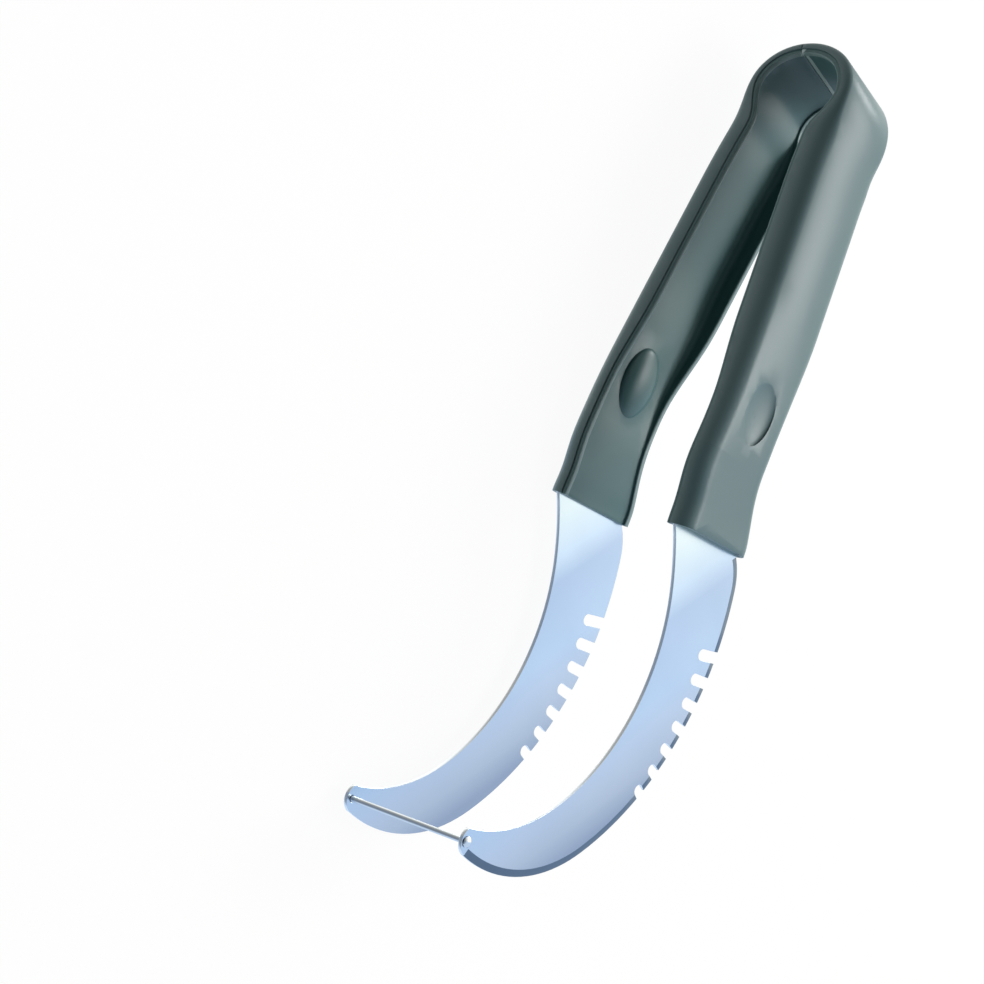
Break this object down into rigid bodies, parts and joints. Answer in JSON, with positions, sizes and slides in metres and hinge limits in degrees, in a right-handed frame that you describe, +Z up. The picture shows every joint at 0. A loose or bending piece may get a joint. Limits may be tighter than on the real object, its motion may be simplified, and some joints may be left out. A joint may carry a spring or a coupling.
{
  "type": "melon slicer",
  "caption": "Tong-like melon slicer: two sprung plastic arms joined by a bow, a notched sickle blade on each arm and a rod that joins the blade tips.",
  "frame": {"origin": "bottom centre of the bounding box of the slicer as it lies on its left side", "axes": "+X from the bow to the blades, +Y towards the notched backs of the blades, +Z up from the left arm to the right arm"},
  "size_m": [0.2802, 0.0773, 0.0578],
  "materials": {
    "shell": "satin moulded",
    "liner": "satin moulded",
    "blade": "polished",
    "rod": "polished",
    "spring": "rolled strip"
  },
  "bodies": {
    "bow": {"bow_spring": "spring"},
    "right_arm": {"right_shell": "shell", "right_liner": "liner", "right_blade": "blade", "right_tang_pins": "rod"},
    "left_arm": {"left_shell": "shell", "left_liner": "liner", "left_blade": "blade", "left_tang_pins": "rod"},
    "tip_rod": {"tip_rod": "rod"}
  },
  "joints": [
    {"name": "right_squeeze", "type": "hinge", "parent": "bow", "child": "right_arm", "pos_m": [-0.12065, 0.00765, 0.0289], "axis": [0.1685, 0.9857, 0], "range_deg": [0, 4], "stiffness_Nm_per_rad": 12},
    {"name": "left_squeeze", "type": "hinge", "parent": "bow", "child": "left_arm", "pos_m": [-0.12065, 0.00765, 0.0289], "axis": [0.1685, 0.9857, 0], "range_deg": [-4, 0], "stiffness_Nm_per_rad": 12},
    {"name": "rod_ride", "type": "slide", "parent": "bow", "child": "tip_rod", "axis": [0.9857, -0.1685, 0], "range_m": [0, 0.0012]}
  ],
  "couplings": [
    {"joint": "left_squeeze", "follows": "right_squeeze", "ratio": -1},
    {"joint": "rod_ride", "follows": "right_squeeze", "m_per_rad": 0.0164}
  ]
}
